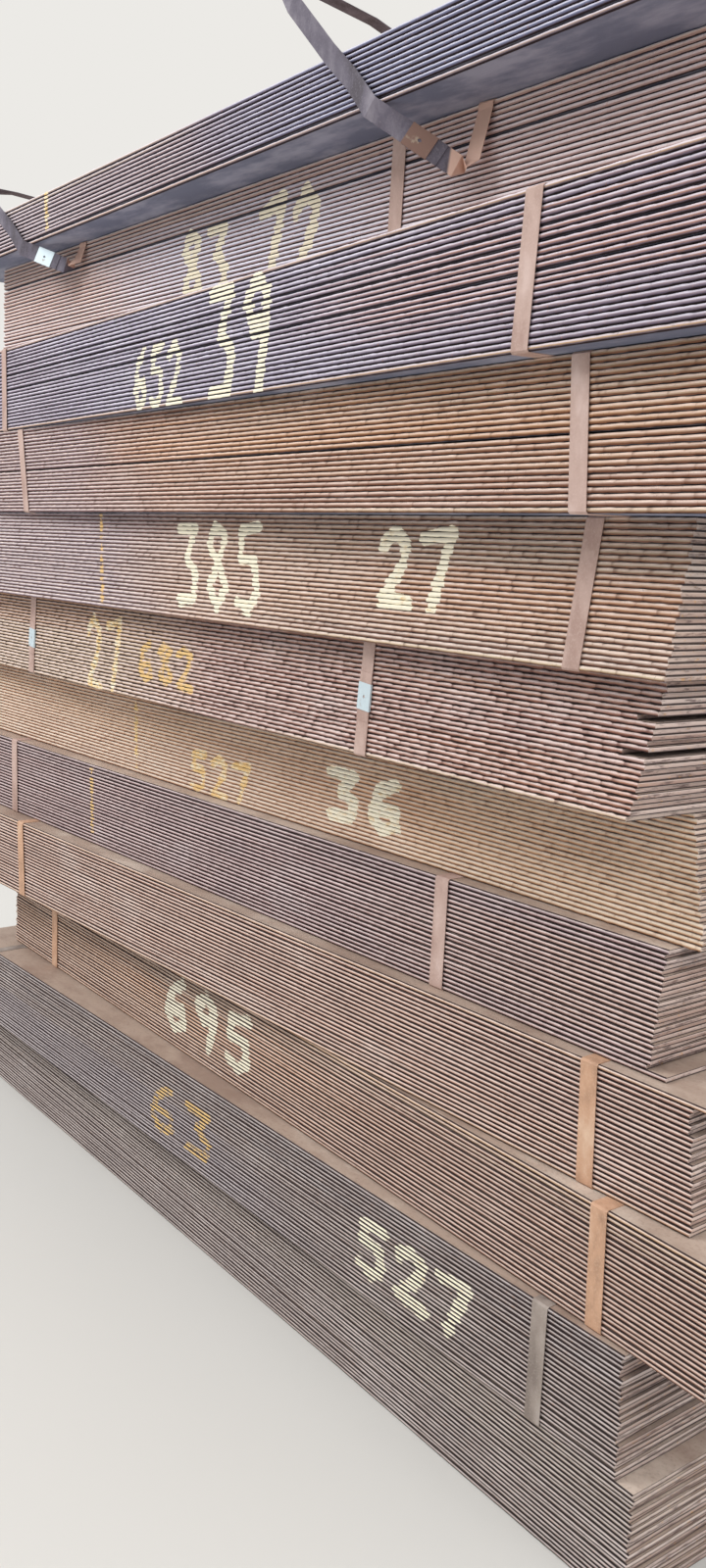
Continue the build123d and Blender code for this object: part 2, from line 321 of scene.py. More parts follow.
# The slow waves are read from a flat map: metres along the plate by a number that only the plate has
corner_points = np.empty(len(plate.data.loops), np.int32)
plate.data.loops.foreach_get("vertex_index", corner_points)
along_map = np.zeros((len(corner_points), 2), np.float32)
along_map[:, 0] = places[corner_points, 0] + places[corner_points, 1] / DEPTH_OF_WAVES
along_map[:, 1] = places[corner_points, 2] * HEIGHT_IN_WAVES
plate.data.uv_layers.new(name=WAVES).data.foreach_set("uv", along_map.ravel())
print(len(on_round), "points round the beads and", len(on_shear), "at the sheared ends")

# %% [markdown]
# A mill edge is a row of low lumps, a thumb's width apart, where the rolls squeezed the steel over itself.
# Each rises slowly and drops quickly, like a tooth of a worn saw, and the upper and the lower lip have their
# own. A noise only gives soft hills, so the teeth are counted off along the plate here.

# %% Lumps of a mill edge
LUMP_SHORT = 20 * MM
LUMP_LONG = 46 * MM
LUMP_LOW = 0.25  # the smallest lumps, as a share of the largest
LUMP_HEIGHT = 0.7  # millimetres, on most bundles
LUMP_HEIGHTS = {"bundle_06": 1.7, "bundle_07": 2.1, "bundle_08": 2.1, "bundle_09": 1.7, "bundle_10": 1.1}
BACK_EVEN, BACK_UNEVEN = 0.25, 0.3  # the back, cut too coarsely for teeth, stands out about evenly


def edge_lumps(along, chance):
    """How far each place along an edge stands out, 0 to 1."""
    starts = [along.min() - LUMP_LONG]
    while starts[-1] <= along.max():
        starts.append(starts[-1] + chance.uniform(LUMP_SHORT, LUMP_LONG))
    heights = np.array([chance.uniform(LUMP_LOW, 1.0) for _ in starts])
    starts = np.array(starts)
    tooth = np.searchsorted(starts, along, side="right") - 1
    return heights[tooth] * (along - starts[tooth]) / (starts[tooth + 1] - starts[tooth])


def plate_lumps(chance):
    """The lumps of all points of one plate: the upper lips, the lower lips and their mean in the middle."""
    upper = edge_lumps(places[:, 0], chance)
    lower = edge_lumps(places[:, 0], chance)
    share = np.clip(0.5 + places[:, 2] / thickness, 0, 1)
    lumps = upper * share + lower * (1 - share)
    lumps = np.where(places[:, 1] > 0, BACK_EVEN + BACK_UNEVEN * lumps, lumps)
    return np.where(on_bead, lumps, 0)


# %% [markdown]
# No plate is ruler-straight: its edges wander by a millimetre or two over half its length, and its sheared
# ends are torn. One plate could be pushed about by hand, but hundreds need a rule, so both are displacements
# by a soft noise, read on each plate's own map.

# %% Waves and tears
WANDER_LENGTH = 620 * MM
WANDER = 1.6 * MM
TEAR_SPACING = 60 * MM
TEAR_DEPTH = 3.0 * MM
MAP_SCALE = 2.0  # a displaced map spans two units of its noise for each unit of the map


def soft_waves(name, spacing):
    texture = bpy.data.textures.new(name, "CLOUDS")
    texture.noise_scale = spacing * MAP_SCALE
    texture.noise_depth = 1
    return texture


wander_waves = soft_waves("edge_wander", WANDER_LENGTH)
tear_waves = soft_waves("shear_tear", TEAR_SPACING)


def push(piece, strength, direction, group="", waves=None):
    """One displacement by a vertex group or by waves on the plates' own maps, applied."""
    modifier = piece.modifiers.new("push", "DISPLACE")
    modifier.strength = strength
    modifier.mid_level = 0.5 if waves else 0.0  # waves push half the strength each way
    modifier.direction = direction
    modifier.vertex_group = group
    if waves:
        modifier.texture = waves
        modifier.texture_coords = "UV"
        modifier.uv_layer = WAVES
    bpy.context.view_layer.objects.active = piece
    bpy.ops.object.modifier_apply(modifier=modifier.name)


# %% [markdown]
# The bundles are copies of the one plate, each at the place that the frame gives it, joined into one mesh per
# bundle. Linked copies would be lighter, but all would have the same lumps, and the eye finds a repeat at
# once. Then points are pushed: outwards by their lumps, along Y by the waves and along X by the tears.

# %% Build the bundles
MAP_LENGTH = 40  # metres of waves, anywhere along which a plate begins
ROW_APART = 0.9  # metres between the waves of one plate and the next
ROW_CHANCE = 9  # and up to this many more
FIRST_CHANCE = 100  # where the random numbers of the lowest bundle begin


def place_plate(row, rise, index, chance):
    """One copy of the plate with its notes, its lumps and its own part of the waves."""
    copy = plate.copy()
    copy.data = plate.data.copy()
    copy.matrix_world = Matrix.Translation(row["middle"]) @ Matrix.Rotation(row["turn"], 4, "Z")
    bpy.context.scene.collection.objects.link(copy)
    give_note(copy.data, RISE, np.full(len(places), rise))
    give_note(copy.data, TONE, np.full(len(places), chance.random()))
    lumps = plate_lumps(chance)
    give_note(copy.data, LUMP, lumps)
    bead = copy.vertex_groups[BEAD]
    for point in on_round:
        bead.add([int(point)], float(lumps[point]), "REPLACE")
    own_part = [chance.uniform(0, MAP_LENGTH), ROW_APART * index + chance.uniform(0, ROW_CHANCE)]
    own_map = along_map + np.array(own_part, np.float32)
    copy.data.uv_layers[WAVES].data.foreach_set("uv", own_map.ravel())
    return copy


def build_bundle(name, chance):
    """All plates of one bundle as one mesh at the frame's places."""
    rows = plates_of[name]
    copies = [place_plate(row, index / (len(rows) - 1), index, chance) for index, row in enumerate(rows)]
    bpy.ops.object.select_all(action="DESELECT")
    for copy in copies:
        copy.select_set(True)
    bpy.context.view_layer.objects.active = copies[0]
    bpy.ops.object.join()
    piece = bpy.context.object
    piece.name = name + "_plates"
    piece.data.name = piece.name
    bpy.ops.object.transform_apply(location=True, rotation=True, scale=True)
    push(piece, LUMP_HEIGHTS.get(name, LUMP_HEIGHT) * MM, "NORMAL", BEAD)
    push(piece, 2 * WANDER, "Y", waves=wander_waves)
    push(piece, 2 * TEAR_DEPTH, "X", SHEAR, tear_waves)
    return piece


bundle_pieces = {}
for order, name in enumerate(bundle_names):
    bundle_pieces[name] = build_bundle(name, random.Random(FIRST_CHANCE + order))
bpy.data.objects.remove(plate)
print("the bundles have", sum(triangles(piece.data) for piece in bundle_pieces.values()), "triangles")

# %% [markdown]
# A yard marks its bundles with a paint stick: a count here, a size there, in strokes as wide as a thumb,
# dragged over the bead tops so that the grooves stay bare. The marks here are plain numbers. Text objects
# could be laid on the front, but paint has no thickness, so each point there notes how far it lies outside
# the nearest stroke, and the finish paints where that is below zero.

# %% Figures and marks
FIGURES = {  # one stroke for each figure, in a box one wide and one high
    "1": [(0.4, 1), (0.55, 0)],
    "2": [(0.05, 0.78), (0.45, 1), (0.85, 0.8), (0.7, 0.5), (0.05, 0.03), (0.95, 0)],
    "3": [(0.1, 0.95), (0.85, 0.95), (0.45, 0.58), (0.9, 0.38), (0.75, 0.05), (0.1, 0.03)],
    "5": [(0.9, 1), (0.2, 0.95), (0.15, 0.6), (0.75, 0.6), (0.85, 0.2), (0.5, 0), (0.05, 0.1)],
    "6": [(0.8, 1), (0.3, 0.75), (0.08, 0.3), (0.4, 0), (0.85, 0.15), (0.8, 0.45), (0.2, 0.4)],
    "7": [(0.05, 0.9), (0.9, 1), (0.35, 0)],
    "8": [(0.55, 0.55), (0.12, 0.75), (0.4, 1), (0.85, 0.85), (0.55, 0.55), (0.15, 0.25), (0.5, 0),
          (0.9, 0.25), (0.55, 0.55)],
    "9": [(0.85, 0.7), (0.4, 0.55), (0.1, 0.8), (0.5, 1), (0.85, 0.85), (0.8, 0.5), (0.6, 0)],
}
MARKS = {  # what is written, from X to X, from Z to Z, how wide the stroke is (metres) and how worn
    "bundle_02": [
        ("63", -0.184, 0.116, 0.23, 0.333, 0.017, 0.9),
        ("527", 0.575, 0.9, 0.245, 0.338, 0.022, 0.3),
    ],
    "bundle_03": [("695", -0.224, 0.181, 0.439, 0.551, 0.026, 0.05)],
    "bundle_05": [("1", -0.6, -0.56, 0.812, 0.971, 0.009, 0.8)],
    "bundle_06": [
        ("1", -0.455, -0.415, 0.989, 1.141, 0.009, 0.7),
        ("527", -0.191, 0.064, 0.983, 1.064, 0.016, 0.65),
        ("36", 0.31, 0.561, 1.012, 1.104, 0.024, 0.4),
    ],
    "bundle_07": [
        ("27", -0.532, -0.326, 1.178, 1.335, 0.018, 0.6),
        ("682", -0.270, -0.006, 1.215, 1.3, 0.013, 0.8),
    ],
    "bundle_08": [
        ("1", -0.395, -0.345, 1.378, 1.56, 0.009, 0.85),
        ("385", -0.03, 0.312, 1.394, 1.545, 0.019, 0.1),
        ("27", 0.64, 0.848, 1.432, 1.541, 0.022, 0.35),
    ],
    "bundle_10": [
        ("39", 0.201, 0.452, 1.765, 1.945, 0.026, 0.15),
        ("652", -0.124, 0.107, 1.766, 1.873, 0.016, 0.3),
    ],
    "bundle_11": [
        ("72", 0.193, 0.402, 1.97, 2.104, 0.024, 0.1), ("83", -0.086, 0.104, 1.969, 2.094, 0.022, 0.25)
    ],
    "bundle_12": [("1", -0.56, -0.535, 2.175, 2.235, 0.016, 0.6)],
}

# %% Paint marks
PAINT, WORN = "paint", "worn"
MARK_ROOM = 0.72  # width of a figure, as a share of the room that it has
NO_PAINT = 9.0  # metres


def strokes_of(text, left, right, low, high):
    """The straight runs of a mark, as pairs of X, Z points."""
    room = (right - left) / len(text)
    runs = []
    for place, figure in enumerate(text):
        start = left + room * place
        line = [(start + x * room * MARK_ROOM, low + z * (high - low)) for x, z in FIGURES[figure]]
        runs += zip(line, line[1:])
    return runs


def distance_to_run(points, start, end):
    """Distance of each X, Z point to one straight run."""
    start, end = np.array(start), np.array(end)
    run = end - start
    share = np.clip((points - start) @ run / (run @ run), 0, 1)
    return np.linalg.norm(points - start - share[:, None] * run, axis=1)


def paint_front(piece, marks):
    """Notes on each point how far outside a paint stroke it lies, and how worn that stroke is."""
    points = points_of(piece.data)
    in_front = points[:, 1] < points[:, 1].min() + width / 2
    points = points[:, (0, 2)]
    nearest = np.full(len(points), NO_PAINT)
    worn = np.zeros(len(points))
    for text, left, right, low, high, stroke, wear in marks:
        for start, end in strokes_of(text, left, right, low, high):
            outside = np.where(in_front, distance_to_run(points, start, end) - stroke / 2, NO_PAINT)
            worn = np.where(outside < nearest, wear, worn)
            nearest = np.minimum(nearest, outside)
    give_note(piece.data, PAINT, nearest)
    give_note(piece.data, WORN, worn)


for name, marks in MARKS.items():
    paint_front(bundle_pieces[name], marks)
print(sum(len(marks) for marks in MARKS.values()), "marks on", len(MARKS), "bundles")

# %% [markdown]
# Rust on hot-rolled plate is never one brown. Where the mill scale is still on it is purple-brown to
# blue-grey, where rain has run it is sandy orange, and rows under an overhang keep an olive-grey dust. A
# painter would lay a brown ground and glaze such areas over it with soft borders, and so does this finish.

# %% Colours of rusted plate
# On a bead the light tone also serves as its painted sky highlight, and the dark tone as its painted shade.
TONES = ("dark", "middle", "light")  # on a bead its lower lip, its middle and its upper lip
GROUNDS = {
    "purple": ("#633a33", "#a87a69", "#f3e2de"),
    "blue": ("#5a5064", "#9b91a4", "#ebe7f4"),
    "brown": ("#6e4029", "#b58a6c", "#f7e2d5"),
    "pink": ("#6c4234", "#b98c77", "#f8e6dc"),
    "grey": ("#493937", "#917d75", "#e2d8d4"),
    # pale and sand are lightened grounds, partly painted light for bundles that lie back in the shade of the
    # one above
    "pale": ("#a0807a", "#dcc2b9", "#fdf5f8"),
    "sand": ("#a26f50", "#eac09c", "#fff1e0"),
}
TINTS = {  # glazes, then painted shade, dust, sheared steel and paint
    "orange": "#c4834f", "tan": "#c9a47c",
    "olive": "#9c937c", "blue": "#9496b2",
    "purple": "#8a6a66", "shade": "#585460",
    "cream": "#dcc7a6", "scale_blue_and_painted_light": "#dbe2fa",
    # groove is the painted shade in the grooves between the beads
    "rose_and_painted_light": "#f3e5ea", "steel": "#8090b6",
    "groove": "#26181a", "back": "#8d7468",
    "dust": "#b6a192", "dust_pale": "#d8c8b9",
    "dust_stain": "#947c6f", "underside": "#70758a",
    "underside_light": "#9a9cae", "shear": "#bca296",
    "shear_light": "#ead9d0", "shear_dark": "#675452",
    "shear_fleck": "#cf9a50", "shear_gap_shade": "#241a1c",
    "paint_cream": "#fff7e0", "paint_ochre": "#f0ca8a",
}
print(len(GROUNDS), "grounds and", len(TINTS), "other tints")

# %% [markdown]
# Noises make the rust uneven, each at the size of something real: clouds of rust a hand wide, dried puddles
# on a top face, streaks where the shear tore. Painted textures would be needed for every plate, while a noise
# has no seams. Real pits, flecks and streaks are a millimetre or so, too fine for a picture of the whole
# stack, so they are drawn three to ten times coarser.

# %% Patterns at real sizes
PATTERNS = {  # spacing, detail, roughness, stretch along X, Y and Z, and whether each bundle has its own part
    "mottle": (70 * MM, 5, 0.6, (2.5, 1, 1), True),  # clouds of rust
    "drift": (450 * MM, 3, 0.55, (2.2, 1, 0.6), True),  # uneven borders of the glazes
    "speckle": (6 * MM, 3, 0.7, (1, 1, 1), True),  # pits, drawn coarser than real
    "pool": (300 * MM, 7, 0.62, (1.5, 1, 1), True),  # dried puddles
    "tear": (11 * MM, 4, 0.7, (1, 3.5, 0.7), True),  # streaks of torn steel, coarser too
    "fleck": (7 * MM, 3, 0.7, (1, 1.6, 0.8), True),  # ochre flecks on them, coarser too
    "ragged": (12 * MM, 4, 0.65, (1.6, 1, 0.8), False),  # the border of a paint stroke
    "blister": (16 * MM, 3, 0.6, (1.6, 1, 1), False),  # lifted scale
}
STREAK = (240 * MM, 4, 0.6, (1.8, 1, 1))  # light and dark stretches of one plate, on its own map
OWN_PART = (3.1, 1.7, 2.3)  # metres from one bundle's part of a noise to the next, along X, Y and Z


def pattern(add, coordinates, spacing, detail, roughness, stretch, shift=(0, 0, 0)):
    """A noise whose lumps are about spacing metres apart, stretched along any axis."""
    stretched = add("Mapping", Vector=coordinates, Location=shift, Scale=[1 / s for s in stretch])
    return add("TexNoise", Vector=stretched, Scale=1 / spacing, Detail=detail, Roughness=roughness)


def weather(add, seed):
    """What the layers go by: the notes of the points, where the surface faces, and the patterns."""
    place = add("TexCoord").outputs["Object"]
    facing = add("SeparateXYZ", Vector=add("NewGeometry").outputs["Normal"])
    notes = (ACROSS, LIP, RISE, TONE, LUMP, PAINT, WORN)
    by = {note: add(("Attribute", {"attribute_name": note})).outputs["Fac"] for note in notes}
    by["along"] = add("SeparateXYZ", Vector=place).outputs["X"]
    by["facing_up"] = facing.outputs["Z"]
    by["facing_back"] = facing.outputs["Y"]
    by["facing_along"] = add(ABSOLUTE, facing.outputs["X"])
    own_part = [seed * share for share in OWN_PART]
    for name, (*sizes, is_own) in PATTERNS.items():
        by[name] = pattern(add, place, *sizes, own_part if is_own else (0, 0, 0))
    by["streak"] = pattern(add, add(("UVMap", {"uv_map": WAVES})), *STREAK)
    return by


# %% [markdown]
# A layer is a colour laid over what is there: nowhere at one value of a pattern, at full strength at another,
# with a soft step between. One Color Ramp could hold several colours, but layers can be added, dropped and
# read one by one. In each pair for a step, the first number is where it begins and the second where it is
# full. A glaze is a layer over an area with soft borders.

# %% Layers
FADE_ALONG = 0.28  # metres over which a glaze fades in along the plates
FADE_RISE = 0.13  # share of the bundle's height over which it fades up and down
FAR = 2.0  # beyond any place or row, so nothing fades there


def lay(add, body, over, strength, by, begins=None, full=None):
    """A colour laid over the body: none of it where by is at begins, all its strength where it is at full."""
    share = by if begins is None else add(STEP, by, begins, full)
    return add(MIX, add(TIMES, share, strength), body, over)


def lay_all(add, body, layers, by, tints):
    for pattern_name, begins, full, strength, tint in layers:
        body = lay(add, body, tints[tint], strength, by[pattern_name], begins, full)
    return body


def nudged(add, value, by, amount):
    """A value moved up and down by a pattern, as far as amount each way."""
    return add(TIMES_PLUS, add(MINUS, by, 0.5), 2 * amount, value)


def soft_area(add, along, left, right, rise, low, high, fade):
    """1 in an area of a bundle's side, with soft borders."""
    borders = (along, left, FADE_ALONG), (along, right, -FADE_ALONG), (rise, low, fade), (rise, high, -fade)
    share = 1.0
    for value, edge, half in borders:
        if abs(edge) < FAR:
            share = add(TIMES, add(STEP, value, edge - half, edge + half), share)
    return share


# %% [markdown]
# The ground is mottled over a few centimetres and streaked along each plate in its own way, and every plate
# is a touch lighter or darker than the next. The borders of the glazes drift, because water and scale keep to
# no line. Only a glaze for one plate, such as sand on the lowest row, keeps to it exactly.

# %% Ground and glazes
GROUND_LAYERS = [  # pattern, where it begins and is full (or no step), strength and colour
    ("mottle", 0.5, 0.3, 0.45, "dark"),
    ("mottle", 0.5, 0.7, 0.4, "light"),
    (TONE, None, None, 0.18, "light"),
    ("streak", 0.5, 0.66, 0.22, "light"),
    ("streak", 0.5, 0.34, 0.25, "dark"),
]
BACK_LAYERS = [("facing_back", 0.0, 0.4, 0.5, "back")]  # the back is a plainer rust brown
DRIFT_ALONG = 0.45  # metres by which the border of a glaze drifts
DRIFT_RISE = 0.25  # share of the bundle's height
PLATE_DRIFT = 0.10  # the same for a single plate
ONE_ROW = 0.02  # a glaze that ends this near the top or bottom lies on one plate alone


def ground_and_glazes(add, by, tints, glazes):
    """The colour of a bundle's side, before light and dirt."""
    body = lay_all(add, tints["middle"], GROUND_LAYERS, by, tints)
    along = nudged(add, by["along"], by["drift"], DRIFT_ALONG)
    rise = nudged(add, nudged(add, by[RISE], by["drift"], DRIFT_RISE), by[TONE], PLATE_DRIFT)
    for glaze, strength, left, right, low, high in glazes:
        on_one_row = low >= 1 - ONE_ROW or high <= ONE_ROW
        height, fade = (by[RISE], ONE_ROW / 2) if on_one_row else (rise, FADE_RISE)
        area = soft_area(add, along, left, right, height, low, high, fade)
        body = lay(add, body, tints[glaze], strength, area)
    return lay_all(add, body, BACK_LAYERS, by, tints)


# %% [markdown]
# What makes a bead look round is the light along it: its upper lip mirrors the sky, its lower lip is dark,
# and a lump is brightest where it ends and drops. On clean steel the lamps alone would show that, but rust is
# matt, so that light and shade are painted in: a painted sky highlight on the upper lip, strongest on a lump,
# and painted shade on the lower lip and where the edge is low before a lump.

# %% Painted highlight and shade on the lips of the beads
SKY_LIP = (0.0, 0.38)  # how far up a lip faces, for its painted sky highlight
SHINE = 0.75  # how pale the painted highlight on an upper lip without lumps is
SHINE_AT_LUMP, SHINE_LOST = 1.5, 0.5  # for each unit of scallop: more of it on a lump, less between
# how far down a lower lip faces, for its painted shade
SHADED_LIP = (0.0, -0.5)
LIP_STRENGTH = 0.85
LUMP_SHADE = (0.16, 0.03)  # painted shade where the edge is low, before a lump
LUMP_SHADE_STRENGTH = 1.3
PIT_LAYERS = [("speckle", 0.58, 0.75, 0.3, "orange"), ("speckle", 0.42, 0.25, 0.4, "dark")]


def lips(add, body, by, tints, scallop):
    """The painted sky highlight and painted shade of a bead and of its lumps, and its pits."""
    at_lump = add(TIMES, by[LUMP], SHINE_AT_LUMP * scallop)
    shine = add(PLUS, at_lump, SHINE - SHINE_LOST * scallop)
    sky = add(TIMES, add(STEP, by["facing_up"], *SKY_LIP), shine)
    body = lay(add, body, tints["light"], LIP_STRENGTH, sky)
    body = lay(add, body, tints["dark"], LIP_STRENGTH, by["facing_up"], *SHADED_LIP)
    body = lay(add, body, tints["dark"], LUMP_SHADE_STRENGTH * scallop, by[LUMP], *LUMP_SHADE)
    return lay_all(add, body, PIT_LAYERS, by, tints)


# %% [markdown]
# Upper faces carry sandy dust, pale where water stood and brown where it ran off, and lower faces get a
# blue-grey, partly their rust and partly painted shade. The sheared ends are younger steel: each plate its own
# grey-brown, torn in streaks with flecks of ochre below, with a painted highlight on its upper part, painted
# shade on its lower part and a painted shadow line between the plates. Pictures of real ends could show it, but
# the notes already tell one plate from the next.

# %% Faces and sheared ends
DUST_LAYERS = [
    ("pool", 0.5, 0.64, 0.8, "dust_pale"),
    ("pool", 0.46, 0.34, 0.7, "dust_stain"),
    ("mottle", 0.5, 0.36, 0.35, "dust_stain"),
    ("speckle", 0.5, 0.3, 0.4, "dust_stain"),
]
UPPER_FACE = (0.8, 0.97)  # how far up a surface faces
LOWER_FACE = (-0.8, -0.97)
UNDERSIDE_CLOUDS = (0.4, 0.65)
SHEAR_BODY = 0.3  # share of the bundle's own colour
SHEAR_LAYERS = [
    ("tear", 0.5, 0.34, 0.8, "shear_dark"),
    # a painted highlight on the upper part of each end, and painted shade on its lower part
    (LIP, 0.2, 0.6, 0.5, "shear_light"),
    (LIP, -0.1, -0.6, 0.35, "shear_dark"),
    ("fleck", 0.6, 0.7, 0.5, "shear_fleck"),
]
SHEAR_GAP_SHADE = (0.62, 0.78)  # how far from the middle of an end its painted shadow line between the plates lies
SHEAR_GAP_SHADE_RAGGED = 0.15
SHEAR_GAP_SHADE_STRENGTH = 0.92


def faces(add, body, by, tints):
    """The dust on upper faces, and the blue-grey of lower ones, partly painted shade."""
    dust = lay_all(add, tints["dust"], DUST_LAYERS, by, tints)
    body = lay(add, body, dust, 1.0, by["facing_up"], *UPPER_FACE)
    # lower faces: a blue-grey, partly their rust and partly painted shade
    under = lay(add, tints["underside"], tints["underside_light"], 1.0, by["mottle"], *UNDERSIDE_CLOUDS)
    return lay(add, body, under, 1.0, by["facing_up"], *LOWER_FACE)


def sheared_end(add, body, by, tints):
    """The colour of a sheared end, over the colour of the bundle's side, with its painted highlight and shade.
    """
    torn = lay(add, tints["shear"], tints["shear_light"], 1.0, by[TONE])
    torn = lay(add, torn, body, SHEAR_BODY, 1.0)
    torn = lay_all(add, torn, SHEAR_LAYERS, by, tints)
    line = nudged(add, by[ACROSS], by["tear"], SHEAR_GAP_SHADE_RAGGED)
    return lay(add, torn, tints["shear_gap_shade"], SHEAR_GAP_SHADE_STRENGTH, line, *SHEAR_GAP_SHADE)


# %% [markdown]
# The dark lines between the beads make the stack read as plates, and from here they are too thin for shadow
# alone. So shade is painted from a certain depth of the groove on, more under a bead than on top of the next
# one, and less where a lump closes the groove, which gives rough bundles their scalloped look.

# %% Painted shade in the grooves
GROOVE_LOWER = 0.14  # how much further the painted shade reaches under a bead than on top of the next one
GROOVE_RAGGED = 0.06
GROOVE_SHADE_STRENGTH = 0.96
GROOVE_BEFORE, GROOVE_AFTER = 0.03, 0.06  # the painted shade's soft step round the groove's depth
SIDE_FACING = (0.995, 0.9)  # how far up or down a surface faces, from none of the painted shade to all of it


def groove_depth(add, by, scallop):
    """How deep in a groove each point of a bead lies: 0 on the crest and 1 where the bead meets the flat."""
    closed = add(TIMES, by[LUMP], scallop)
    less_on_upper_lip = add(TIMES, by["facing_up"], GROOVE_LOWER)
    depth = add(MINUS, by[ACROSS], closed)
    return nudged(add, add(MINUS, depth, less_on_upper_lip), by["speckle"], GROOVE_RAGGED)


def groove_shade(add, body, by, tints, depth, groove, is_end):
    """Painted shade from the depth groove on, on the sides alone."""
    side = add(STEP, add(ABSOLUTE, by["facing_up"]), *SIDE_FACING)
    side = add(TIMES, side, add(MINUS, 1.0, is_end))
    groove_shade_share = add(STEP, depth, groove - GROOVE_BEFORE, groove + GROOVE_AFTER)
    return lay(add, body, tints["groove"], GROOVE_SHADE_STRENGTH, add(TIMES, groove_shade_share, side))


# %% [markdown]
# Paint from a stick only reaches the crests of the beads. It is cream where it is thick and ochre where the
# rust comes through, and a worn mark has lost part of its cover. A stamped picture would have clean borders.
# These are ragged, and no two plates take the paint equally far, because they don't lie in one plane.

# %% Paint of the marks
STROKE_RAGGED = 5 * MM
STROKE_UNEVEN = 4 * MM
STROKE_BORDER = 2 * MM
CREST_RAGGED = 0.1
CREST_BEYOND, CREST_WITHIN = 0.10, 0.02  # the paint's soft step round the groove's depth
WEAR = 0.5  # how much of its cover the most worn mark has lost
PATCHY = 0.6
COVERED = (0.35, 0.6)
RUST_THROUGH = (0.4, 0.75)


def paint(add, body, by, tints, depth, groove):
    """The marks, over the finish of a bundle."""
    outside = nudged(add, nudged(add, by[PAINT], by["ragged"], STROKE_RAGGED), by[TONE], STROKE_UNEVEN)
    stroke = add(STEP, outside, STROKE_BORDER, 0.0)
    crest = nudged(add, depth, by["ragged"], CREST_RAGGED)
    crest = add(STEP, crest, groove + CREST_BEYOND, groove - CREST_WITHIN)
    kept = add(MINUS, 1.0, add(TIMES, by[WORN], WEAR))
    cover = add(STEP, nudged(add, kept, by["ragged"], PATCHY), *COVERED)
    covered_crest = add(TIMES, crest, cover)
    rusty = nudged(add, by[WORN], by["ragged"], PATCHY)
    tint = lay(add, tints["paint_cream"], tints["paint_ochre"], 1.0, rusty, *RUST_THROUGH)
    return lay(add, body, tint, 1.0, add(TIMES, stroke, covered_crest))


# %% [markdown]
# The steel is hot-rolled structural plate under rust and mill scale. Oxide is no bare metal, so it has no
# metallic share: it scatters light softly from its pits and blisters, and only a weak sheen is left, which
# keeps the dark browns deep. Relief that is too fine for the mesh is a bump.

# %% The finish of one bundle
RUST_ROUGHNESS = 0.72
SHEEN = 0.2  # of a plain surface's 0.5
RELIEF_STRENGTH = 0.5
RELIEF_HEIGHT = 1.5 * MM
PIT_RELIEF = 0.5  # depth of the pits, as a share of the height of the blisters
END_FACING = (0.7, 0.9)  # how far along X a surface faces


def rusted_plate(name, ground, groove, scallop, glazes, seed):
    """The finish of one bundle: its groove is where the painted groove shade begins, its scallop how much lumps
    close it.
    """
    material, add = new_material("hot_rolled_steel_" + name)
    hexes = {**TINTS, **dict(zip(TONES, GROUNDS[ground]))}
    tints = {tint: colour(value) for tint, value in hexes.items()}
    by = weather(add, seed)

    side = ground_and_glazes(add, by, tints, glazes)
    side = lips(add, side, by, tints, scallop)
    is_end = add(STEP, by["facing_along"], *END_FACING)
    body = faces(add, side, by, tints)
    body = lay(add, body, sheared_end(add, side, by, tints), 1.0, is_end)
    depth = groove_depth(add, by, scallop)
    body = groove_shade(add, body, by, tints, depth, groove, is_end)
    if name in MARKS:
        body = paint(add, body, by, tints, depth, groove)

    relief = add(PLUS, add(TIMES, by["speckle"], PIT_RELIEF), by["blister"])
    bump = add("Bump", Strength=RELIEF_STRENGTH, Distance=RELIEF_HEIGHT, Height=relief)
    shader = add(
        "BsdfPrincipled", Base_Color=body, Roughness=RUST_ROUGHNESS, Specular_IOR_Level=SHEEN, Normal=bump
    )
    add("OutputMaterial", Surface=shader)
    return material


# %% [markdown]
# No two bundles are alike: they came from other heats and lay in other weather. One finish for all would be
# quicker, but the stack would look like one block. So each has a ground of its own and a short list of
# glazes, each a stretch of its length by a share of its rows.

